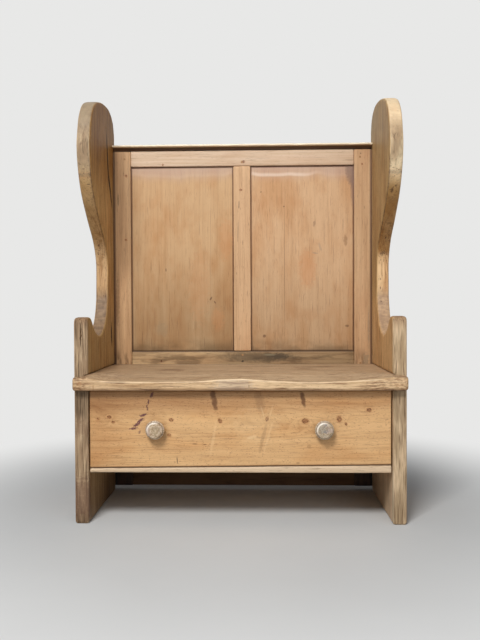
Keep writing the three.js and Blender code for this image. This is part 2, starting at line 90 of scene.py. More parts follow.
# %% Make the camera
scene = bpy.context.scene
camera = bpy.data.objects.new("camera", bpy.data.cameras.new("camera"))
scene.collection.objects.link(camera)
scene.camera = camera
camera.data.sensor_width = 36
camera.data.lens = 38.65
camera.location = (0.0653, -2.3189, 0.6786)
looking_down, leaning, turned_left = 1.14, 0.26, 1.68
camera.rotation_euler = [math.radians(a) for a in (90 - looking_down, leaning, turned_left)]
print("camera at", tuple(round(c, 3) for c in camera.location))

# %% [markdown]
# ## Light and floor
#
# The settle stood in soft daylight from high on the left. Two wide lamps and a pale sky
# do the same: the wide lamps give soft shadows, and the sky fills them.

# %% Hang the lamps
def hang_lamp(name, place, aim, size, power):
    lamp = bpy.data.objects.new(name, bpy.data.lights.new(name, "AREA"))
    lamp.data.shape = "RECTANGLE"
    lamp.data.size, lamp.data.size_y = size
    lamp.data.energy = power
    lamp.location = place
    lamp.rotation_euler = (Vector(aim) - Vector(place)).to_track_quat("-Z", "Y").to_euler()
    scene.collection.objects.link(lamp)

hang_lamp("key_lamp", (-0.9, -3, 3.3), (0, 0, 0.6), (1.3, 1.1), 140)
hang_lamp("fill_lamp", (1.8, -3, 1.6), (0, 0, 0.6), (2, 2), 18)

# %% [markdown]
# ## Writing materials as sums
#
# A material is a net of nodes, which is slow to read. The class below wraps one socket
# of such a net, so that a sum in Python adds the Math nodes that do it. Colours can't go
# through Math nodes, which would turn them grey, so `blend` adds a Mix node for them.

# %% Wrap a socket
class Wire:
    """One output socket of a material. Sums on wires add Math nodes."""

    def __init__(self, tree, socket=None):
        self.tree, self.socket = tree, socket

    def node(self, kind, values=None, settings=None, out=0):
        """Adds any shader node, with what its sockets hold or link to, and its settings."""
        made = self.tree.nodes.new("ShaderNode" + kind)
        for name, setting in (settings or {}).items():
            setattr(made, name, setting)
        for name, value in (values or {}).items():
            if isinstance(value, Wire):
                self.tree.links.new(value.socket, made.inputs[name])
            else:
                made.inputs[name].default_value = value
        return Wire(self.tree, made.outputs[out] if made.outputs else None)

    def math(self, operation, first, second=0):
        return self.node("Math", {0: first, 1: second}, {"operation": operation})

    def __add__(self, other):
        return self.math("ADD", self, other)

    def __radd__(self, other):
        return self.math("ADD", other, self)

    def __sub__(self, other):
        return self.math("SUBTRACT", self, other)

    def __rsub__(self, other):
        return self.math("SUBTRACT", other, self)

    def __mul__(self, other):
        return self.math("MULTIPLY", self, other)

    def __rmul__(self, other):
        return self.math("MULTIPLY", other, self)

    def __truediv__(self, other):
        return self.math("DIVIDE", self, other)

    def __rtruediv__(self, other):
        return self.math("DIVIDE", other, self)

    def __pow__(self, other):
        return self.math("POWER", self, other)

    def larger(self, other):
        return self.math("MAXIMUM", self, other)

    def smaller(self, other):
        return self.math("MINIMUM", self, other)

    def size(self):
        return self.math("ABSOLUTE", self)

    def rise(self, start, end):
        """0 at start and 1 at end, smoothly; with start above end it falls."""
        values = {"Value": self, "From Min": start, "From Max": end}
        return self.node("MapRange", values, {"interpolation_type": "SMOOTHSTEP"})

    def near(self, place, outer, inner):
        """0 at outer and 1 at inner, both in millimetres beyond a place."""
        return self.rise(place + outer * mm, place + inner * mm)

    def between(self, start, full, fading, end):
        """1 from full to fading, 0 outside start and end."""
        return self.rise(start, full) * self.rise(end, fading)


def tone(red, green, blue):
    """A colour as a screen shows it, out of 255, in the form that sockets hold."""
    def linear(level):
        level /= 255
        return level / 12.92 if level <= 0.04045 else ((level + 0.055) / 1.055) ** 2.4
    return (linear(red), linear(green), linear(blue), 1)


def blend(share, below, above, mode="MIX"):
    """The colour above over the colour below, as strongly as share says. Each is a wire,
    or three levels out of 255."""
    below, above = (c if isinstance(c, Wire) else tone(*c) for c in (below, above))
    values = {0: share, 6: below, 7: above}
    return share.node("Mix", values, {"data_type": "RGBA", "blend_type": mode}, 2)

print("a mid grey is", round(tone(128, 128, 128)[0], 3), "in a socket")

# %% [markdown]
# ## A board's own directions
#
# Grain has a direction, so each board's material knows which way is along the grain,
# which is across its broad face and which goes into it. Noise is asked for by the size
# of its patches in millimetres along those, which is how a maker would describe it. The
# board also holds its colour and the height of its grain, to which each layer is added.

# %% Describe a board
X, Y, Z = 0, 1, 2


class Board:
    """A material for one board, with the directions of its grain."""

    def __init__(self, name, grain, face, seed):
        self.material = bpy.data.materials.new(name)
        self.material.use_nodes = True
        self.tree = self.material.node_tree
        self.tree.nodes.clear()
        self.node = Wire(self.tree).node
        self.place = self.node("TexCoord", out="Object")
        split = self.node("SeparateXYZ", {0: self.place})
        self.xyz = [Wire(self.tree, out) for out in split.socket.node.outputs]
        self.order = (grain, 3 - grain - face, face)
        self.along, self.across, self.deep = (self.xyz[axis] for axis in self.order)
        self.seed = seed
        self.colour, self.height = None, 0

    def noise(self, sizes, shift=0, detail=3):
        """Cloudy values about 0.5. The patches' sizes are along, across and, where that
        differs from across, into the board."""
        scale = [0, 0, 0]
        for axis, size in zip(self.order, (*sizes, sizes[1])):
            scale[axis] = 1 / (size * mm)
        offset = [self.seed * 7.31 + shift] * 3
        values = {"Vector": self.place, "Scale": scale, "Location": offset}
        return self.cloud(self.node("Mapping", values), detail)

    def cloud(self, where, detail):
        values = {"Vector": where, "Scale": 1, "Detail": detail, "Roughness": 0.55}
        return self.node("TexNoise", values)

    def paint(self, share, tint, mode="MIX"):
        """Covers the board's colour with a tint, as strongly as share says."""
        self.colour = blend(share, self.colour, tint, mode)

    def stain(self, share, tint):
        """Darkens the board's colour by a tint, which leaves its grain to be seen."""
        self.paint(share, tint, "MULTIPLY")

    def worn(self):
        """How sharp an arris was before it wore, from the mesh: 0 on a flat, near 1 on one."""
        return self.node("Attribute", settings={"attribute_name": "arris"}, out="Fac")

    def shader(self, roughness, lift, shine):
        bump = self.node("Bump", {"Height": self.height, "Distance": lift})
        values = {"Base Color": self.colour, "Roughness": roughness, "Normal": bump,
                  "Specular IOR Level": shine}
        return self.node("BsdfPrincipled", values)

    def close(self, shader):
        self.node("OutputMaterial", {"Surface": shader})
        return self.material

    def finish(self, roughness, lift=0.6, shine=0.35):
        return self.close(self.shader(roughness, lift * mm, shine))

print("a board of grain x and face z has its width along", "XYZ"[3 - X - Z])

# %% [markdown]
# ## Pine
#
# A tree grows a pale band in spring and a thin dark one in summer, in rings round its
# pith. A board is a flat slice through those rings. So the grain comes from how far each
# point lies from the pith: where the face runs close to it, the rings spread out into
# tall arches, and far from it they show as straight lines. That is truer than a picture
# of grain, because edges and ends show the same rings as the face.

# %% Grow the rings
def spot(board, place, size, turn=0, across=None):
    """How far a point lies from a mark on the face: 0 at its middle, 1 on its rim. The
    mark's place and half sizes are in millimetres, along and across."""
    u = board.along - place[0] * mm
    v = (across or board.across) - place[1] * mm
    c, s = math.cos(math.radians(turn)), math.sin(math.radians(turn))
    long_way = (u * c + v * s) / (size[0] * mm)
    short_way = (v * c - u * s) / (size[1] * mm)
    return long_way ** 2 + short_way ** 2


def rings(board, pith, ring, taper=0, sway=0.03, knots=()):
    """Distance from the pith in rings, bent by slow wander and pushed aside by knots."""
    wander = board.noise((700, 250), 0, 1) - 0.5
    ripple = board.noise((160, 50), 3, 2) - 0.5
    u = board.across - pith[0] + wander * sway
    w = board.deep - pith[1] + board.along * taper + ripple * sway * 0.3
    radius = (u * u + w * w) ** 0.5
    for *place, size in knots:
        push = 1 / (spot(board, place, (size * 4, size * 2.2)) + 1)
        radius = radius + push * push * (size * 1.4 * mm)
    return radius / ring


def grain(board, turns):
    """Summer bands, fibres and broad tones along the rings, each between 0 and 1."""
    phase = turns.math("FRACT", turns)
    band = (phase ** 2.5) * phase.rise(1, 0.65)

    def in_rings(length, count, shift, detail):
        lines = {0: board.along / length, 1: turns / count, 2: board.seed + shift}
        return board.cloud(board.node("CombineXYZ", lines), detail)

    some = in_rings(0.35, 1.7, 0, 2)
    return band * some.rise(0.25, 0.75), in_rings(0.09, 0.11, 5, 3), some

# %% [markdown]
# Rings alone look drawn. Old pine also has streaks of resin a finger wide, pores, and
# scores from a life of use, which all run with the grain.

# %% Colour the wood
def pine(board, turns, early, late, strength=0.8, lines=0.6, streak=1.2):
    """Gives the board clean wood's colour and the height of its grain."""
    band, fibre, some = grain(board, turns)
    streaks = board.noise((300, 12), 11, 5) - 0.5
    share = band * strength + (fibre - 0.5) * 0.5 + streaks * streak + (some - 0.5) * 0.4 + 0.28
    board.colour = blend(share.rise(0, 1), early, late)
    pores = board.noise((20, 1.2), 8, 1).rise(0.64, 0.76)
    scores = board.noise((70, 2.8), 12, 2).rise(0.6, 0.72)
    specks = board.noise((5, 2.4), 15, 2).rise(0.68, 0.76)
    dark = pores.larger(scores).larger(specks) * lines
    board.stain(dark, (120, 84, 52))
    board.height = fibre * 0.5 - band * 0.3 - dark * 0.8


def knotted(board, knots):
    """Paints each knot: a reddish heart, a paler collar and a ragged, broken dark ring."""
    heart, collar = (84, 38, 18), (178, 108, 54)
    ragged = (board.noise((2.8, 2.2, 2.8), 31) - 0.5) * 4.4
    broken = board.noise((5, 4, 5), 32, 2).rise(0.36, 0.48) * 0.55 + 0.45
    for *place, size in knots:
        away = spot(board, place, (size, size * 0.75), place[0] * 0.9) + ragged
        board.paint(away.rise(4.5, 0.9) * 0.4, collar)
        board.paint(away.between(0.45, 0.8, 1.1, 1.7) * broken, heart)
        board.paint(away.rise(0.35, 0.05) * broken * 0.8, heart)


def marked(board, marks, tint, where=1, grit=9, across=None):
    """Soft or ragged marks. Each has a place and half sizes in millimetres, along and
    across, a share, how ragged its edge is, a turn in degrees and a tint of its own."""
    ragged = board.noise((grit, grit), 33) - 0.5

    def mark(u, v, long, short, share, edge, turn=0, own=tint):
        away = spot(board, (u, v), (long, short), turn, across) + ragged * edge
        board.paint(away.rise(1, 0.1) * share * where, own)

    for each in marks:
        mark(*each)


def weathered(board, share, pale, grey, dark):
    """Bare wood gone grey, with dirt in the checks between its harder bands."""
    checks = board.noise((110, 4.2), 21)
    wash = board.noise((100, 18), 22)
    strands = board.noise((60, 2), 23)
    faded = blend(wash.rise(0.35, 0.65), pale, grey)
    faded = blend(strands.rise(0.42, 0.62) * 0.4, faded, dark)
    faded = blend(checks.rise(0.53, 0.66) * 0.85, faded, dark)
    board.paint(share, faded)
    board.height = board.height * (1 - share) - checks.rise(0.5, 0.68) * share


def worm_holes(board, share):
    """Round holes up to 3 mm across, in a quarter of cells 11 mm wide."""
    cells = board.node("TexVoronoi", {"Vector": board.place, "Scale": 1 / (11 * mm)})
    tint = Wire(board.tree, cells.socket.node.outputs["Color"])
    pick = board.node("SeparateColor", {0: tint})
    board.paint(cells.rise(0.17, 0.1) * pick.rise(0.75, 0.77) * share * 0.85, (60, 38, 22))

print("growth rings ready")

# %% [markdown]
# ## Wearing a board down
#
# Long use rubs every sharp arris round, and more in some places than others. A bevel
# would cut them all alike. Instead the board's mesh is rebuilt from small even cells and
# its points are drawn towards the average of their neighbours. That moves only the
# arrises, by an amount that drifts along the board. How far each point moved is kept as
# an attribute, because worn arrises also have a colour of their own.

# %% Find what is worn
def lumps(places, size, seed):
    """Smooth values from 0 to 1 over the places, with lumps of about that size."""
    random = np.random.default_rng(seed)
    total = np.zeros(len(places))
    for _ in range(7):
        way = random.normal(size=3)
        way *= random.uniform(0.6, 1.5) / (np.linalg.norm(way) * size)
        total += np.sin(2 * np.pi * (places @ way) + random.uniform(0, 6.28))
    return np.clip(0.5 + total / 7, 0, 1)


def points_of(mesh):
    flat = np.empty(len(mesh.vertices) * 3, np.float32)
    mesh.vertices.foreach_get("co", flat)
    return flat.reshape(-1, 3).astype(float)


def move_points(mesh, places):
    mesh.vertices.foreach_set("co", places.astype(np.float32).ravel())
    mesh.update()


def averaged(places, pairs, rounds):
    """Each point drawn to the mean of its neighbours, that many times over."""
    first = np.concatenate([pairs[:, 0], pairs[:, 1]])
    second = np.concatenate([pairs[:, 1], pairs[:, 0]])
    count = np.bincount(first, minlength=len(places))[:, None]
    for _ in range(rounds):
        sums = [np.bincount(first, places[second, i], len(places)) for i in range(3)]
        places = (places + np.stack(sums, 1) / np.maximum(count, 1)) / 2
    return places

print("wear is measured between", lumps(np.eye(3), 1, 1).round(2))

# %% [markdown]
# Nails and pegs sit in holes in the model. The rebuilt board doesn't need the holes, so
# blocks fill them first. Flat stretches need few faces, so the last step takes away most
# of those that carry no shape.

# %% Rebuild and wear a board
def with_modifier(piece, kind, **settings):
    """Gives the piece the mesh that one modifier makes of it."""
    modifier = piece.modifiers.new(kind.lower(), kind)
    for name, setting in settings.items():
        setattr(modifier, name, setting)
    bpy.context.view_layer.update()
    made = piece.evaluated_get(bpy.context.evaluated_depsgraph_get())
    mesh = bpy.data.meshes.new_from_object(made)
    piece.modifiers.clear()
    old, piece.data = piece.data, mesh
    bpy.data.meshes.remove(old)


def add_block(shape, start, end, low, high):
    """A block from start to end, cut off at the board's own box."""
    start = [max(a, b) for a, b in zip(start, low)]
    end = [min(a, b) for a, b in zip(end, high)]
    if all(a < b for a, b in zip(start, end)):
        for point in bmesh.ops.create_cube(shape, size=1)["verts"]:
            point.co = [a if c < 0 else b for a, b, c in zip(start, end, point.co)]


def new_piece(name, shape):
    """A piece in the scene from a bmesh, which is used up."""
    mesh = bpy.data.meshes.new(name)
    shape.to_mesh(mesh)
    shape.free()
    piece = bpy.data.objects.new(name, mesh)
    scene.collection.objects.link(piece)
    return piece


def skin(name, rows, smooth=False):
    """A piece that joins each row of points to the next, all round, and shuts both ends."""
    shape = bmesh.new()
    corner = {point: shape.verts.new(point) for point in dict.fromkeys(p for row in rows for p in row)}
    rows = [[corner[point] for point in row] for row in rows]
    for row, following in zip(rows, rows[1:]):
        for i in range(len(row)):
            j = (i + 1) % len(row)
            corners = dict.fromkeys((row[i], row[j], following[j], following[i]))
            shape.faces.new(list(corners)).smooth = smooth
    for end in (rows[0], rows[-1]):
        if end[0] != end[1]:
            shape.faces.new(end)
    bmesh.ops.recalc_face_normals(shape, faces=shape.faces)
    return new_piece(name, shape)


def worn_board(node, cell, rounds, least, keep, seed, holes=(), blocks=(), form=None, spared=None):
    """A worn piece in the place of a node of the model. Its cells are in millimetres, and
    least is the wear where a board is worn least, as a share of the most."""
    low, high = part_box(node)
    hair = 0.001 * mm
    shape = bmesh.new()
    shape.from_mesh(nodes[node].data)
    bmesh.ops.remove_doubles(shape, verts=shape.verts, dist=10 * hair)
    margin = Vector((1, 1, 1)) * 2.5 * mm
    for hole in holes:
        start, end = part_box(hole)
        add_block(shape, start - margin, end + margin, low, high)
    for start, end in blocks:
        add_block(shape, start, end, low, high)
    piece = new_piece(f"{node}_worn", shape)
    with_modifier(piece, "REMESH", mode="VOXEL", voxel_size=cell * mm)
    places = points_of(piece.data)
    if form:
        places = form(places)
    pairs = np.empty(len(piece.data.edges) * 2, np.int32)
    piece.data.edges.foreach_get("vertices", pairs)
    soft = averaged(places, pairs.reshape(-1, 2), rounds)
    moved = np.linalg.norm(soft - places, axis=1) / (cell * mm)
    drift = 0.14
    amount = least + (1 - least) * lumps(places, drift, seed)
    if spared:
        amount[spared(places)] = 0
    move_points(piece.data, places + (soft - places) * amount[:, None])
    arris = piece.data.attributes.new("arris", "FLOAT", "POINT")
    arris.data.foreach_set("value", np.clip(moved * 1.2, 0, 1).astype(np.float32))
    with_modifier(piece, "DECIMATE", ratio=keep)
    inside = np.clip(points_of(piece.data), np.array(low) + hair, np.array(high) - hair)
    move_points(piece.data, inside)
    piece.data.polygons.foreach_set("use_smooth", [True] * len(piece.data.polygons))
    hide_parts(node)
    print(piece.name, len(piece.data.polygons), "faces", "arris" in piece.data.attributes)
    return piece


def dress(piece, body, material):
    piece.modifiers.new("even_shading", "WEIGHTED_NORMAL").keep_sharp = True
    piece.data.materials.clear()
    piece.data.materials.append(material)
    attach(piece, body)


def named(*starts):
    """The names of the model's nodes that start so."""
    return sorted(n for n in nodes if n.startswith(starts))

# %% [markdown]
# ## Drying cracks
#
# A thick board splits along its grain as it dries. Each crack is a real cut: a thin wedge
# that follows a wandering path is taken out of the board.

# %% Cut a crack
def crack(piece, start, end, width, depth, seed, onto):
    """Cuts a wedge from start to end, two places on a face, with its width and depth in
    millimetres. `onto` turns a place on the face and a height above it into a point."""
    random = np.random.default_rng(seed)
    above, steps, rows = 1, 14, []
    for i in range(steps + 1):
        share = i / steps
        u, v = (a + (b - a) * share for a, b in zip(start, end))
        u += random.uniform(-0.25, 0.25) * width * mm
        half = max(width * math.sin(math.pi * share) * random.uniform(0.3, 0.6), 0.1)
        corners = ((-half, above), (half, above), (0, -depth))
        rows.append([onto(u + a * mm, v, b * mm) for a, b in corners])
    wedge = skin("crack_wedge", rows)
    with_modifier(piece, "BOOLEAN", object=wedge, operation="DIFFERENCE", solver="EXACT")
    bpy.data.objects.remove(wedge)

# %% [markdown]
# ## The slab sides
#
# Each side is one thick board, sawn to the shape of an arm, a hollow and a wing, with
# its grain upright. The wings' fronts are golden, with a painted sheen high up and painted
# shade where they turn down. The inner faces are oily brown with painted shade, and the
# arms and legs are grey.

# %% Colour the sides
side_looks = {
    "left": SimpleNamespace(
        early=(206, 168, 122), late=(150, 106, 62), low=(100, 80, 64), washed=(140, 114, 88),
        pale=(192, 166, 134), grey=(150, 125, 98), dark=(64, 48, 34), golden_tone_and_sheen=(192, 174, 144),
        inner=(255, 255, 222), inner_top=(1.035, 1.185), upper=(204, 182, 130),
        turned=(216, 190, 104), turned_share=0.2, turned_zone=(0.87, 0.92, 1.06, 1.16),
        crest=(200, 202, 206), arm=(230, 234, 238), foot=1.2, shadow_below_ear=0.6,
    ),
    "right": SimpleNamespace(
        early=(232, 194, 146), late=(178, 132, 84), low=(148, 118, 94), washed=(190, 156, 122),
        pale=(210, 184, 150), grey=(174, 150, 118), dark=(88, 68, 46), golden_tone_and_sheen=(252, 236, 198),
        inner=(230, 229, 207), inner_top=(0.64, 0.8), upper=(223, 223, 219),
        turned=(172, 142, 76), turned_share=0.5, turned_zone=(0.845, 0.875, 1.05, 1.13),
        crest=(244, 240, 238), arm=(255, 252, 255), foot=0.35, shadow_below_ear=0.25,
    ),
}
pit = (70, 42, 24)
edge_pits = {
    "left": [
        (1074, -487, 2.5, 8, 0.7, 1), (894, -497, 6, 3, 0.8, 2, 20), (717, -483, 4, 2, 0.9, 1),
        (718, -490, 3, 2, 0.7, 1), (865, -503, 4, 4, 0.7, 2), (1200, -500, 10, 4, 0.4, 3, 20),
    ],
    "right": [
        (1050, 490, 10, 5, 0.8, 3, 10), (1062, 500, 4, 4, 0.7, 2), (911, 496, 3, 3, 0.9, 1),
        (862, 492, 10, 10, 0.6, 4), (772, 487.5, 5, 1.5, 0.9, 1), (741, 486.5, 6, 2, 0.9, 1),
        (694, 487.5, 4, 4, 0.7, 2), (1213, 489, 14, 1, 0.5, 0.6, 32),
        (1205, 486, 13, 1, 0.5, 0.6, -38), (955, 499, 4, 10, 0.5, 3),
    ],
}


def side_material(side, sign, look):
    board = Board(f"side_{side}_pine", Z, X, 3 + sign)
    x, y, z = board.xyz
    knots = [(955, -85, 9), (742, 60, 7), (1100, -130, 8)]
    turns = rings(board, (0.03, sign * 0.63), 0.0065, 0.05, 0.04, knots)
    pine(board, turns, look.early, look.late, 0.7, 0.8, 1.6)
    knotted(board, knots)
    patches = board.noise((160, 70, 50))
    board.stain(patches.rise(0.45, 0.8) * 0.5, (214, 174, 130))
    inside = (x * sign).near(inner_x, 5, 1)
    # The inner faces are stained warmer and darker, most high on the wings and least below the seat:
    # oily wood and painted shade.
    board.stain(inside * (0.75 - z.rise(0.43, 0.4) * 0.55), look.inner)
    board.stain(inside * z.rise(*look.inner_top), look.upper)
    board.stain(inside * z.rise(0.7, 0.62), look.arm)
    soaked = board.noise((250, 12), 24).rise(0.5, 0.66) * inside
    board.stain(soaked * 0.3, (110, 76, 44))
    outside = (x * sign).near(outer_x, -5, -1)
    rear = y.near(slab_high.y, -5, -1)
    edge = (1 - inside) * (1 - outside) * (1 - rear)
    board.stain(outside.larger(rear) * (0.3 + patches * 0.4), (204, 186, 164))
    chatter = board.noise((6, 30), 4)
    # Painted sheen: the upper wing fronts are painted paler and golden, partly the wood's tone; the
    # band above it is a painted highlight.
    board.paint(edge * z.rise(0.9, 1.2) * (0.3 + chatter * 0.5), look.golden_tone_and_sheen)
    board.paint(edge * z.between(1.09, 1.16, 1.19, 1.25) * 0.6, (255, 236, 196))
    board.stain(edge * z.rise(1.2, 1.27), look.crest)
    # Where the wing fronts turn down they are stained browner: the wood's tone and painted shade.
    turned = edge * z.between(*look.turned_zone)
    board.stain(turned * (look.turned_share + patches * 0.6), look.turned)
    nicked = z.between(1, 1.04, 1.13, 1.17).larger(z.between(0.84, 0.87, 0.92, 0.96))
    nicks = board.noise((4, 12), 17).rise(0.6, 0.66) * edge * nicked
    board.paint(nicks * 0.6, (72, 46, 26))
    hollow = edge * z.rise(0.755, 0.7) * y.near(slab_front, 40, 70)
    sawn = board.noise((12, 50, 20), 9, 4).rise(0.3, 0.7)
    board.paint(hollow * 0.85, blend(sawn, look.low, look.washed))
    worm_holes(board, edge * z.between(0.7, 0.95, 1.12, 1.22))
    front = y.near(slab_front, 14, 4) * z.rise(0.665, 0.63) * (1 - outside * 0.6)
    nose = z.rise(0.6, 0.645) * edge * y.near(slab_front, 75, 50)
    bare = front.larger(nose * 0.8)
    weathered(board, bare * 0.85, look.pale, look.grey, look.dark)
    board.stain(nose * patches.rise(0.3, 0.6) * 0.6, (160, 130, 104))
    board.stain(z.rise(0.17, 0.02) * (0.25 + patches * 0.6) * look.foot, (158, 142, 126))
    # Painted shadow: the leg fronts darken just below the seat's ear.
    board.stain(edge * z.between(0.31, 0.35, 0.43, 0.44) * look.shadow_below_ear, (120, 105, 90))
    # Painted light: the right side's inner face is lightened towards the floor.
    if side == "right":
        board.paint(inside * z.rise(0.34, 0.1) * 0.3, (214, 200, 176))
    # Worn arrises painted pale on parts of the wing: rubbed wear and a painted highlight.
    rubbed_and_highlit = board.worn().rise(0.25, 0.6) * board.noise((40, 40), 0, 2).rise(0.3, 0.6)
    pale_arris = z.rise(1.13, 1.18).larger(z.rise(0.93, 0.88)) * edge.larger(0.6)
    board.paint(rubbed_and_highlit * pale_arris * 0.55, (238, 212, 172))
    rolled = (x * sign).near(inner_x, 8, 4) * (1 - inside.rise(0.9, 1))
    brown_arris = (board.worn().rise(0.15, 0.4) * (0.5 + rolled)).smaller(1)
    board.paint(brown_arris * z.between(0.87, 0.92, 1.12, 1.17) * 0.85, (70, 44, 26))
    marked(board, edge_pits[side], pit, edge, 4, x)
    if side == "left":
        marked(board, [(85, -190, 75, 30, 0.5, 3, 4)], (96, 62, 48))
        marked(board, [(300, -190, 30, 20, 0.35, 3)], (110, 78, 56))
        # Painted shade along the three cracks in the inner face.
        crack_shade = [
            (1200, 112.5, 130, 11, 1, 0.5, -11.5), (1098, 151, 85, 12, 1, 0.5, -24.5),
            (578, 155, 55, 11, 1, 0.6, -6, (26, 18, 10)),
        ]
        marked(board, crack_shade, (34, 20, 10), (x * sign).near(inner_x, 20, 16))
    return board.finish(0.44 + patches * 0.2 + bare * 0.25, 0.8)

# %% [markdown]
# The left side has dried the worst: two long cracks run down the inner face of its wing,
# a short one shows below, and a narrow, deeper one opens in the front of its arm.

# %% Make the sides
for side, sign in (("left", -1), ("right", 1)):
    fastenings = [f"{kind}_nail_{side}" for kind in ("seat", "stile", "cleat", "runner")]
    in_joints = lambda places: places[:, 1] > frame_front - 2 * mm
    slab = worn_board(f"side_{side}", 4, 4, 0.3, 0.3, 11 + sign, named(*fastenings), spared=in_joints)
    if side == "left":
        on_inner_face = lambda u, v, height: (-inner_x + height, u, v)
        on_front = lambda u, v, height: (u, slab_front - height, v)
        crack(slab, (0.088, 1.32), (0.137, 1.08), 13, 14, 1, on_inner_face)
        crack(slab, (0.116, 1.175), (0.187, 1.02), 13, 14, 2, on_inner_face)
        crack(slab, (0.15, 0.625), (0.16, 0.53), 12, 14, 3, on_inner_face)
        crack(slab, (-0.494, 0.636), (-0.495, 0.552), 5, 20, 4, on_front)
    dress(slab, "carcass", side_material(side, sign, side_looks[side]))

# %% [markdown]
# ## The seat
#
# The seat is one plank with broad figure along it. Sitters have worn its front down: 10
# to 12 mm in the middle and at the ends, and about 20 mm in two places. Those depths were
# measured in the photograph along the plank. They fade out towards the back, within 3 cm
# near the slabs and within 12 cm elsewhere. A block fills the model's own simpler wear
# between the slabs first.

# %% Wear the seat down
wear_places = (-472, -471, -440, -400, -260, -138, -64, 9, 83, 180, 240, 330, 399, 471, 472)
wear_depths = (0, 12, 15, 18, 19.5, 18, 12.5, 10, 15.5, 20.5, 21.5, 18.5, 13, 10, 0)
reach_places, reaches = (0.36, 0.465), (0.12, 0.031)


def sat_on(places):
    """Lowers the seat's top towards its front."""
    x, y, z = places.T.copy()
    depth = np.interp(x / mm, wear_places, wear_depths) * mm
    reach = np.interp(abs(x), reach_places, reaches)
    near = np.clip(1 - (y - seat_low.y) / reach, 0, 1)
    high = np.clip((z - seat_low.z) / (seat_high.z - seat_low.z), 0, 1)
    fade = near * near * (3 - 2 * near)
    return np.stack([x, y, z - depth * fade * high], 1)


split, stain = (112, 72, 42), (168, 124, 84)
front_marks = [
    (-450, 430, 2.5, 12, 0.7, 0.5, 0, stain), (-480, 435, 7, 1.8, 0.8, 0.8),
    (-492, 441, 10, 8, 0.6, 2.5, 0, stain), (-495, 428, 8, 2, 0.6, 1.5),
    (405, 434, 22, 1.6, 0.7, 1.5, -4), (435, 428, 26, 1.6, 0.7, 1.5, 5),
    (385, 424, 14, 1.6, 0.6, 1.5, 14), (462, 423, 20, 2, 0.6, 1.5, -8),
    (482, 436, 10, 6, 0.5, 2.5, 0, stain), (30, 434, 2, 6, 0.5, 1),
    (200, 427, 80, 1.4, 0.5, 1.5, 1), (-310, 432, 100, 1.4, 0.45, 1.5, -1),
]


def seat_material():
    board = Board("seat_board_pine", X, Z, 9)
    x, y, z = board.xyz
    knots = [(-200, -70, 10), (190, 60, 9)]
    turns = rings(board, (-0.03, 0.36), 0.0055, 0.02, 0.05, knots)
    pine(board, turns, (226, 194, 152), (186, 148, 104), 0.7, 0.7, 1.4)
    knotted(board, knots)
    front = y.near(seat_low.y, 14, 4)
    patches = board.noise((220, 50))
    oily = (1 - front) * z.near(seat_top, -35, -28)
    board.stain(oily * (0.45 + patches * 0.5), (208, 210, 220))
    swirls = board.noise((160, 10), 6, 4).rise(0.54, 0.68)
    board.stain(oily * swirls * 0.5, (136, 112, 88))
    checks = board.noise((90, 4), 7).rise(0.54, 0.66)
    board.stain(front * checks * 0.6, (136, 98, 62))
    ear = x.size().near(inner_x, -10, 12).larger(front * x.rise(0.36, 0.42) * 0.8)
    blotch = board.noise((14, 6), 8).rise(0.42, 0.62)
    board.stain(ear * blotch * 0.6, (150, 108, 66))
    fine = board.noise((50, 2.2), 9).rise(0.5, 0.66)
    board.stain(fine * 0.5, (142, 112, 84))
    board.stain(x.rise(0, -0.5) * 0.25, (180, 160, 140))
    marked(board, [
        (-235, -30, 60, 30, 0.75, 1.6),
        (-200, 70, 50, 14, 0.5, 1.6, 8),
        (210, 0, 35, 24, 0.6, 1.6, 0, (116, 90, 66)),
        (260, 70, 90, 22, 0.7, 1.8, 12, (108, 80, 58)),
        (-20, seat_low.y / mm, 75, 6, 0.35, 2.5, 0, (176, 160, 146)),
        (0, -195, 8, 6, 0.7, 1, 0, (96, 66, 44)),
    ], (112, 84, 62))
    marked(board, front_marks, split, front, 5, z)
    # Worn front arris painted pale: rubbed wear and a painted highlight.
    rubbed_and_highlit = board.worn().rise(0.2, 0.5) * y.near(seat_low.y, 30, 15) * z.near(seat_top, -37, -27)
    board.paint(rubbed_and_highlit * x.size().near(inner_x, -20, -60) * 0.8, (244, 220, 182))
    # Towards the back frame the seat's top darkens: dirt and painted shade in the corner.
    grime_and_shade = y.rise(frame_front - 0.035, frame_front) * (0.3 + patches)
    board.stain(grime_and_shade.smaller(1) * 0.6, (140, 116, 92))
    board.stain(z.near(seat_low.z, 12, 2) * 0.6, (130, 96, 62))
    return board.finish(0.42 + patches * 0.25)


fill_end, fill_back, fill_foot = 0.4715, -0.105, 0.43
filled = [((-fill_end, seat_low.y, fill_foot), (fill_end, fill_back, seat_top))]
seat = worn_board("seat_board", 4, 7, 0.35, 0.3, 21, named("seat_nail"), filled, sat_on)
dress(seat, "carcass", seat_material())

# %% [markdown]
# ## The framed back
#
# Two stiles, two rails and a muntin hold the panels. Each is a narrow board with its
# grain along its length, so one recipe serves them all, with its own tone and knots.
# Where the boards meet, dark lines are painted: dirt and painted shade. The fronts also
# get painted shade beside the slabs and below the seat.

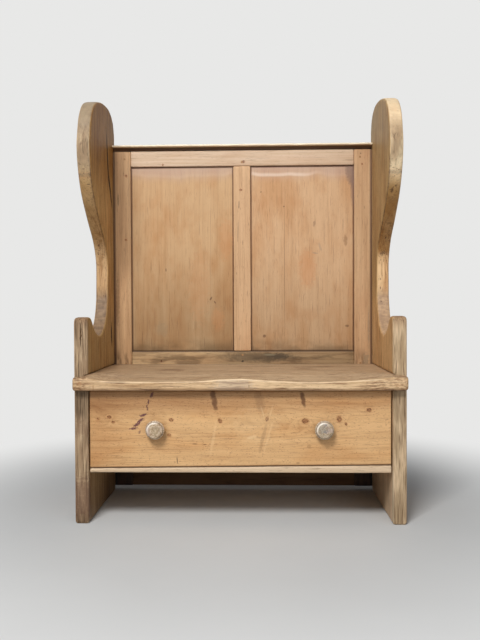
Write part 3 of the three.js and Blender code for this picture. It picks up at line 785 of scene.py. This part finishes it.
# %% Make the frame
def frame_material(name, along, early, late, scored, knots, marks, seed):
    board = Board(f"{name}_pine", along, Y, seed)
    x, y, z = board.xyz
    turns = rings(board, (0.09, 0.3), 0.005, 0.02, 0.03, knots)
    pine(board, turns, early, late, 0.6, 0.35, 1.1)
    knotted(board, knots)
    patches = board.noise((250, 60))
    board.stain(patches.rise(0.4, 0.8) * 0.4, (214, 176, 140))
    slits = board.noise((35, 4.5), 14, 1).rise(0.7, 0.76)
    board.paint(slits * scored, (112, 78, 48))
    smears = board.noise((90, 20), 4, 4).rise(0.45, 0.62)
    board.stain(z.rise(0.535, 0.48) * smears * 0.55, (112, 98, 74))
    marked(board, marks, dirt)
    if name == "back_bottom_rail":
        board.stain(x.rise(-0.2, 0), (216, 215, 213))
        board.stain(z.near(rail_high.z, -5, -1) * 0.8, (96, 72, 50))
    ahead = y.near(frame_front, 8, 4)
    # Painted shade: the stiles' fronts darken beside the slabs.
    shade_beside_slab = x.size().near(inner_x, -10, -3)
    board.stain(shade_beside_slab * ahead * 0.8, (92, 66, 44))
    # Dark arrises where boards meet: grime and painted shade.
    board.stain(board.worn().rise(0.12, 0.4) * 0.65, (120, 84, 52))
    # Painted shade: the fronts darken from the seat down towards the floor.
    board.stain(z.rise(seat_low.z, 0.16) * ahead, (80, 66, 56))
    return board.finish(0.42 + patches * 0.2)


dirt, soot = (98, 78, 52), (70, 58, 44)
frame_pieces = [
    ("back_stile_left", Z, (202, 163, 121), (158, 117, 78), 0.45,
     [(1160, -426, 4), (925, -428, 3.5)],
     [(1072, -456, 30, 3, 0.7, 1), (700, -460, 120, 8, 0.4, 2)]),
    ("back_stile_right", Z, (206, 168, 128), (170, 130, 90), 0.25, [(1195, 438, 3)],
     [(1233, 433, 4, 3, 0.7, 1), (480, 452, 30, 14, 0.45, 3, 0, (118, 112, 92)),
      (600, 462, 90, 4, 0.35, 2, 0, (110, 106, 96))]),
    ("back_top_rail", X, (212, 186, 159), (184, 151, 115), 0.15,
     [(5, 1207, 5), (-290, 1199, 3)], []),
    ("back_bottom_rail", X, (196, 164, 122), (152, 118, 80), 0.3, [(-300, 478, 3)],
     [(60, 492, 170, 22, 0.55, 1.2, 0, soot), (130, 496, 60, 12, 0.6, 1.2, 0, soot),
      (0, 477, 6, 5, 0.9, 0.8, 0, (50, 38, 26)), (100, 500, 30, 4, 0.5, 1, 0, (178, 164, 132)),
      (-220, 490, 120, 10, 0.2, 1.5)]),
    ("back_muntin", Z, (212, 173, 132), (172, 130, 90), 0.6, [(1105, -4, 4)],
     [(1050, -11, 18, 3, 0.6, 1, 3), (950, -15, 50, 2, 0.5, 1, 2)]),
]
for seed, (name, along, *look) in enumerate(frame_pieces, 30):
    piece = worn_board(name, 3, 2, 0.25, 0.25, seed, named("peg_", "stile_nail", "board_nail"))
    dress(piece, "carcass", frame_material(name, along, *look, seed))

# %% [markdown]
# ## The panels
#
# The panels are thin, wide and quiet: fine upright grain, a few small marks, a purplish
# band below the top rail where old polish was never cleaned off, and grime at the foot.
# Their edges are painted darker, with grime and painted shade beside the frame.

# %% Dress the panels
def on_node(name, material):
    """Gives a node of the model its material and leaves its shape as it is."""
    for held in nodes[name].material_slots:
        held.material = material


def panel_material(side, sign, early, late, lower, marks, pith, seed):
    board = Board(f"panel_{side}_pine", Z, Y, seed)
    x, y, z = board.xyz
    turns = rings(board, pith, 0.0045, 0.05, 0.03)
    pine(board, turns, early, late, 0.45, 0.35, 0.38)
    patches = board.noise((300, 90, 60))
    front = y.near(panel_low.y, 4, 2)
    board.stain(patches.rise(0.4, 0.7) * 0.5, (226, 196, 154))
    clouds = board.noise((90, 50), 7, 2).rise(0.45, 0.7)
    board.stain(clouds * 0.3, (232, 204, 168))
    board.stain(z.rise(0.95, 0.55) * 0.6, lower)
    wavy = z + (board.noise((500, 100), 2, 1) - 0.5) * 0.05
    edge_of_polish = top_rail_low.z - 0.035
    board.paint(wavy.near(edge_of_polish, -30, 30) * front * 0.55, (184, 158, 146))
    tide = wavy.near(edge_of_polish, -4, 4) * wavy.near(edge_of_polish, 16, 6)
    bright = x.between(0, 0.06, 0.2, 0.3) + 0.12
    board.paint(tide * bright * front * 0.4, (240, 220, 200))
    ragged = board.noise((50, 100), 6)
    foot = z.near(rail_high.z, 55, 2) * ragged.rise(0.25, 0.6)
    board.stain(foot * front * 0.6, (138, 136, 122))
    # Painted shade with grime: the panel's edges darken beside the muntin, stiles and rails, which
    # stand proud of it.
    sides = (x * sign).near(muntin_high.x, 7, 2).larger((x * sign).near(stile_edge, -7, -2))
    ends = z.near(top_rail_low.z, -8, -2).larger(z.near(rail_high.z, 6, 1))
    board.stain(sides.larger(ends) * 0.8, (104, 72, 46))
    marked(board, marks, brown, front)
    return board.finish(0.45 + patches * 0.2)


stile_edge = -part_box("back_stile_left")[1].x
brown, rust = (110, 78, 54), (196, 134, 84)
panel_left_marks = [
    (708, -116, 9, 4, 0.85, 1.5, 30), (694, -101, 8, 3, 0.8, 1.5, -35), (814, -282, 9, 3, 0.7, 1),
    (596, -298, 34, 28, 0.4, 2, 0, (150, 128, 98)), (800, -116, 320, 1.2, 0.35, 0.3),
    (930, -60, 100, 30, 0.3, 2.5, 0, rust), (750, -160, 160, 50, 0.22, 2, 0, rust),
    (630, -90, 50, 30, 0.3, 2, 0, rust),
]
panel_right_marks = [
    (569, 81, 8, 7, 0.8, 2), (605, 384, 6, 8, 0.7, 2),
    (920, 379, 26, 9, 0.6, 1.5, 0, (140, 100, 64)), (873, 268, 3, 14, 0.5, 1.5, 8, (130, 114, 98)),
    (895, 286, 22, 6, 0.3, 1.5, -20, (150, 130, 110)), (980, 264, 13, 6, 0.35, 1.5, 10),
    (815, 240, 85, 42, 0.45, 1.5, 0, rust), (1044, 154, 4, 4, 0.8, 1), (1098, 70, 3, 4, 0.7, 1),
    (830, 155, 340, 1.4, 0.6, 0.3), (1160, 398, 60, 22, 0.7, 1.2, -12, (128, 102, 88)),
    (1120, 408, 100, 14, 0.5, 0.8, 0, (130, 104, 92)),
]
on_node("back_panel_left", panel_material(
    "left", -1, (203, 165, 122), (172, 133, 91), (201, 206, 206), panel_left_marks, (-0.65, 0.33), 51))
on_node("back_panel_right", panel_material(
    "right", 1, (210, 171, 131), (181, 141, 101), (219, 222, 220), panel_right_marks, (0.06, 0.24), 52))

# %% [markdown]
# ## The cap
#
# A small moulding finishes the back: a rounded nose over a cove. It is one outline swept
# along the bench, so it is drawn once and repeated, with dents knocked into its nose.

# %% Sweep the cap
def cap_outline():
    """Points round the cap's section, as (y, z), from the model's own box."""
    nose, top, foot = cap_low.y, cap_high.z, cap_low.z
    roll = 3.25 * mm
    bead = [(nose + roll - roll * math.sin(a), top - roll + roll * math.cos(a))
            for a in np.linspace(0, math.pi, 9)]
    start, end = (nose + 2 * roll, top - 2 * roll), (frame_front, foot)
    hollow = (frame_front - roll, top - 2 * roll)
    cove = [tuple((1 - t) ** 2 * a + 2 * t * (1 - t) * b + t * t * c
                  for a, b, c in zip(start, hollow, end)) for t in np.linspace(0, 1, 9)]
    return [(cap_high.y, foot), (cap_high.y, top), *bead, *cove]


stations = np.linspace(cap_low.x, cap_high.x, 260)
cap = skin("back_cap_moulding", [[(x, y, z) for y, z in cap_outline()] for x in stations], True)
places = points_of(cap.data)
nose_depth, dent_size, dent_depth = 0.012, 0.05, 3 * mm
near_nose = np.clip((cap_low.y + nose_depth - places[:, 1]) / nose_depth, 0, 1)
places[:, 1] += near_nose * lumps(places, dent_size, 61) ** 3 * dent_depth
move_points(cap.data, places)
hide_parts("back_cap")


def cap_material():
    board = Board("cap_pine", X, Y, 60)
    x, y, z = board.xyz
    pine(board, rings(board, (0.9, 0.3), 0.004), (222, 192, 152), (184, 146, 104), 0.6)
    # Painted highlight on the rounded nose.
    board.paint(y.near(cap_low.y, 8, 5) * 0.85, (255, 240, 212))
    # Painted shade in the cove below it.
    board.stain(z.near(cap_high.z, -6.8, -8.2) * 0.95, (92, 66, 44))
    return board.finish(0.4)


dress(cap, "carcass", cap_material())

# %% [markdown]
# ## The drawer front
#
# The drawer front is the brightest board: orange-yellow pine with knots, faint pale
# figure where branches left the stem, and dark bruises. The strip below it is newer.

# %% Make the drawer front and its strip
purple, plume, cream, umber = (98, 54, 60), (122, 84, 52), (238, 206, 158), (120, 76, 44)
bruises = [
    (-273, 404, 12, 6, 0.9, 2, 65), (-284, 381, 11, 4, 0.9, 2.5, 75),
    (-288, 364, 10, 4, 0.8, 3, 100), (-300, 341, 15, 5, 0.95, 2.5, 15),
    (-309, 324, 17, 6, 0.95, 2.5, 35), (-320, 312, 15, 6, 0.95, 2.5, 35),
    (-331, 299, 16, 5, 0.9, 3, 10), (-312, 288, 8, 4, 0.6, 3, 60),
]
drawer_marks = [
    (-79, 390, 42, 12, 0.9, 1.6, 103, plume), (196, 393, 34, 9, 0.95, 1.6, 102, plume),
    (62, 385, 48, 18, 0.35, 1.5, 104, plume), (72, 268, 60, 7, 0.35, 2.5, 76, plume),
    (-82, 268, 65, 6, 0.22, 2, 80), (88, 270, 65, 4, 0.22, 1.5, 74),
    (98, 352, 24, 3, 0.3, 1.2, 75), (72, 350, 24, 3, 0.3, 1.2, 106),
    (-195, 200, 14, 1.8, 0.9, 0.5, 94, (60, 44, 34)), (-139, 251, 10, 2, 0.8, 1, 0, umber),
    (-108, 249, 7, 2, 0.8, 1, 0, umber), (39, 273, 16, 8, 0.4, 3),
    (181, 192, 8, 2, 0.7, 1, 0, umber), (50, 310, 90, 70, 0.16, 2.5),
    (216, 243, 7, 8, 0.3, 2.5, 0, plume),
]


def drawer_material():
    board = Board("drawer_front_pine", X, Y, 71)
    x, y, z = board.xyz
    knots = [
        (-213, 326, 5.5), (-61, 323, 6), (203, 323, 8), (308, 329, 7.5), (329, 314, 4), (85, 329, 5.5),
        (-442, 329, 3), (-407, 335, 5), (-395, 319, 4), (-220, 279, 5), (400, 357, 6),
    ]
    turns = rings(board, (0.33, -0.3), 0.0045, 0.02, 0.05, knots)
    pine(board, turns, (222, 179, 127), (182, 136, 88), 0.65, 0.35)
    knotted(board, knots)
    patches = board.noise((250, 60))
    board.stain(patches.rise(0.4, 0.75) * 0.4, (230, 196, 150))
    scuffs = board.noise((30, 3.5), 14, 2).rise(0.62, 0.7)
    board.paint(scuffs * 0.2, (136, 90, 52))
    flecks = board.noise((6, 3), 16).rise(0.61, 0.67)
    board.paint(flecks * 0.5, (124, 74, 40))
    marked(board, drawer_marks, cream)
    marked(board, bruises, purple, grit=4.5)
    # Painted shadow: a brownish patch below and right of each knob.
    for node in ("knob_left", "knob_right"):
        centre = (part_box(node)[0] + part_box(node)[1]) / (2 * mm)
        marked(board, [(centre.x + 6, centre.z - 10, 40, 38, 0.6, 0.8)], (158, 116, 68))
    board.stain(x.rise(-0.3, -0.47) * 0.5, (214, 196, 178))
    bottom = front_low.z + (x + front_high.x) * (foot_slope / (2 * front_high.x))
    board.paint((z - bottom).near(0, 7, 3) * 0.85, (104, 74, 50))
    # Painted shadow of the seat: the drawer front's top is stained darker, more to the left.
    seat_shadow = z.rise(0.325, 0.38) * (x.rise(0.3, -0.25) * 0.25 + 0.25)
    board.stain(seat_shadow, (150, 110, 70))
    return board.finish(0.4 + patches * 0.2)


def lip_material():
    board = Board("drawer_lip_pine", X, Y, 72)
    pine(board, rings(board, (0.4, -0.2), 0.004), (218, 192, 160), (188, 157, 122), 0.5, 0.5)
    return board.finish(0.5)


foot_slope = 0.011
drawer_front = worn_board("drawer_front", 4, 4, 0.3, 0.35, 41)
dress(drawer_front, "drawer", drawer_material())
lip = worn_board("drawer_lip", 3, 3, 0.3, 0.4, 42)
dress(lip, "drawer", lip_material())

# %% [markdown]
# ## The knobs
#
# The knobs are turned: a low domed face, a groove, and a wider bead behind it on a
# waisted neck. A turned shape is one profile carried round an axis. Handling has worn
# the old pale paint to a mix of cream, olive and lilac, and grime sits in the groove.

# %% Turn the knobs
knob_radius = (knob_high.x - knob_low.x) / 2
knob_profile_shares = [
    (0, 1), (0.3, 0.996), (0.55, 0.982), (0.7, 0.958), (0.79, 0.925), (0.835, 0.885),
    (0.845, 0.84), (0.83, 0.795), (0.815, 0.77), (0.84, 0.745), (0.91, 0.725), (0.97, 0.68),
    (1, 0.61), (0.985, 0.53), (0.93, 0.46), (0.84, 0.4), (0.72, 0.33), (0.6, 0.25),
    (0.53, 0.17), (0.52, 0.1), (0.56, 0.04), (0.6, 0),
]


def knob(side, centre, low, high, seed):
    """A knob and its spigot, from shares of its radius and of how far it stands out."""
    seat_y = front_low.y
    reach = seat_y - low.y
    profile = [(r * knob_radius, seat_y - out * reach) for r, out in knob_profile_shares]
    spigot = profile[-1][0] * 0.5
    profile += [(spigot, seat_y), (spigot, high.y), (0, high.y)]
    turn = [(math.cos(a), math.sin(a)) for a in np.linspace(0, 2 * math.pi, 64, endpoint=False)]
    rows = [[(centre.x + r * c, y, centre.z + r * s) for c, s in turn] for r, y in profile]
    piece = skin(f"knob_{side}_turned", rows, True)
    places = points_of(piece.data)
    outward = (places - np.array(centre)) * (1, 0, 1) / knob_radius
    worn = lumps(places, 0.02, seed)[:, None] * 0.8 * mm
    move_points(piece.data, places - outward * worn)
    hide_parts(f"knob_{side}")
    return piece


def knob_material(side, seed, centre, base, patch, patch_at):
    board = Board(f"knob_{side}_paint", Y, X, seed)
    x, y, z = board.xyz
    wood = board.noise((30, 4))
    board.colour = blend(wood.rise(0.35, 0.65), base, (160, 132, 100))
    lilac = board.noise((40, 16), 2, 2).rise(0.5, 0.65)
    board.paint(lilac * 0.5, (196, 170, 160))
    u, v = x - centre.x, z - centre.z
    away = (u * u + v * v) ** 0.5 / knob_radius
    ahead = y.rise(centre.y, centre.y - 0.01)
    ragged = board.noise((20, 6), 5) - 0.5
    worn = ((u - patch_at[0]) ** 2 + (v - patch_at[1]) ** 2) ** 0.5 / 0.017 + ragged * 2.5
    on_face = ahead * away.rise(0.8, 0.7)
    board.paint(worn.rise(1.2, 0.5) * on_face * (0.35 + lilac * 0.4), patch)
    towards_light = ((v - u) / knob_radius).rise(0.1, 1)
    # Painted highlight: a pale crescent on the face's rim towards the light.
    rim = away.between(0.62, 0.74, 0.8, 0.86) * ahead
    board.paint(rim * towards_light * 0.8, (246, 236, 220))
    pits = board.noise((10, 3), 7, 2).rise(0.62, 0.7)
    board.paint(pits * 0.5, (110, 90, 66))
    groove = away.between(0.8, 0.82, 0.86, 0.9) * y.near(front_low.y, -34, -31)
    board.paint(groove * 0.7, (112, 92, 70))
    board.stain(y.near(front_low.y, -20, -8) * 0.7, (128, 104, 74))
    board.height = wood * 0.6 - pits
    return board.finish(0.36, 0.5, 0.45)


for side, seed, base, patch, patch_at in (
        ("left", 81, (212, 190, 162), (146, 128, 92), (0.003, 0.001)),
        ("right", 82, (200, 184, 158), (104, 108, 108), (-0.005, 0.006))):
    low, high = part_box(f"knob_{side}")
    centre = (low + high) / 2
    paint = knob_material(side, seed, centre, base, patch, patch_at)
    dress(knob(side, centre, low, high, seed), "drawer", paint)

# %% [markdown]
# ## Boards that are mostly hidden
#
# The drawer's sides, back and bottom, the battens and the low boards were never waxed.
# They stay as the model has them and get the same pine recipe, drier and duller. The low
# back boards also get painted shade on all but their back face.

# %% Dress the hidden boards
def dry_material(name, along, face, seed):
    board = Board(f"{name}_dry_pine", along, face, seed)
    pine(board, rings(board, (0.1, 0.5), 0.006), (206, 166, 118), (160, 116, 72), 0.7)
    patches = board.noise((200, 100))
    board.stain(patches.rise(0.4, 0.8) * 0.6, (190, 168, 140))
    # Painted shade: the low back boards are darkened on all but their back face.
    if name.startswith("low_back"):
        shaded_faces = board.xyz[Y].near(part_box(name)[1].y, -3, -5)
        board.stain(shaded_faces * 0.9, (96, 82, 68))
    return board.finish(0.62 + patches * 0.2)


dry_boards = [("drawer_side", Y, X), ("drawer_back", X, Y), ("drawer_bottom", X, Z),
              ("seat_cleat", Y, X), ("drawer_runner", Y, X), ("low_back", X, Y)]
dry_seed = 90
for start, along, face in dry_boards:
    for name in named(start):
        on_node(name, dry_material(name, along, face, dry_seed))
        dry_seed += 1

# %% [markdown]
# ## Pegs, wedges and nails
#
# The pegs and wedges show their end grain, darker than the boards round them. The nails
# are hand-made iron, brown-black with rust in patches.

# %% Dress the small parts
def peg_material():
    board = Board("peg_pine", Y, X, 110)
    pine(board, rings(board, (0.02, 0.02), 0.0012), (176, 134, 90), (120, 84, 50), 0.7)
    return board.finish(0.55)


def iron_material():
    board = Board("nail_iron", Z, Y, 111)
    rust = board.noise((4, 4), 0, 4).rise(0.4, 0.65)
    board.colour, board.height = blend(rust, (58, 52, 48), (104, 66, 44)), rust
    return board.finish(0.6 + rust * 0.25)


peg, iron = peg_material(), iron_material()
for name in sorted(nodes):
    if name.startswith(("peg_", "knob_wedge")):
        on_node(name, peg)
    elif "nail" in name:
        on_node(name, iron)
print("pegs and nails dressed")

# %% [markdown]
# ## Floor and backdrop
#
# The floor is a wide pale sheet that fades into the backdrop within two metres. The
# backdrop is the world. Camera rays see a pale tone, and the others see the sky that
# lights the scene, which is brighter in front of the settle than behind it, as in a room
# with its windows in front.

# %% Lay the floor and the sky
backdrop = (232, 232, 231)


def seen_rays(wire):
    """1 for rays that show the backdrop: those of the camera, mirrors and glass."""
    path = wire.node("LightPath")
    rays = {out.name: Wire(wire.tree, out) for out in path.socket.node.outputs}
    return rays["Is Camera Ray"].larger(rays["Is Glossy Ray"]).larger(rays["Is Transmission Ray"])


def floor_material():
    board = Board("floor_paper", X, Z, 120)
    mottle = board.noise((400, 400))
    board.colour, board.height = blend(mottle, (202, 203, 202), (210, 211, 210)), mottle
    paper = board.shader(0.85, 0.2 * mm, 0.1)
    x, y, z = board.xyz
    away = (x * x + y * y) ** 0.5
    glow = board.node("Emission", {"Color": tone(*backdrop), "Strength": 1})
    faded = seen_rays(board.place) * away.rise(0.6, 1.6)
    return board.close(faded.node("MixShader", {0: faded, 1: paper, 2: glow}))


shape = bmesh.new()
bmesh.ops.create_grid(shape, x_segments=8, y_segments=8, size=14)
floor = new_piece("floor", shape)
floor.location.z = -0.1 * mm
floor.data.materials.append(floor_material())

world = bpy.data.worlds.new("studio")
scene.world = world
world.use_nodes = True
world.node_tree.nodes.clear()
sky = Wire(world.node_tree)
way = sky.node("TexCoord", out="Generated")
parts = sky.node("SeparateXYZ", {0: way})
ahead = Wire(world.node_tree, parts.socket.node.outputs["Y"]).rise(0.5, -0.5)
glow = blend(ahead, (62, 64, 68), (140, 142, 146))
colour = blend(seen_rays(sky), glow, backdrop)
background = sky.node("Background", {"Color": colour, "Strength": 1})
sky.node("OutputWorld", {"Surface": background})

scene.view_settings.view_transform = "Standard"
print("stage laid")
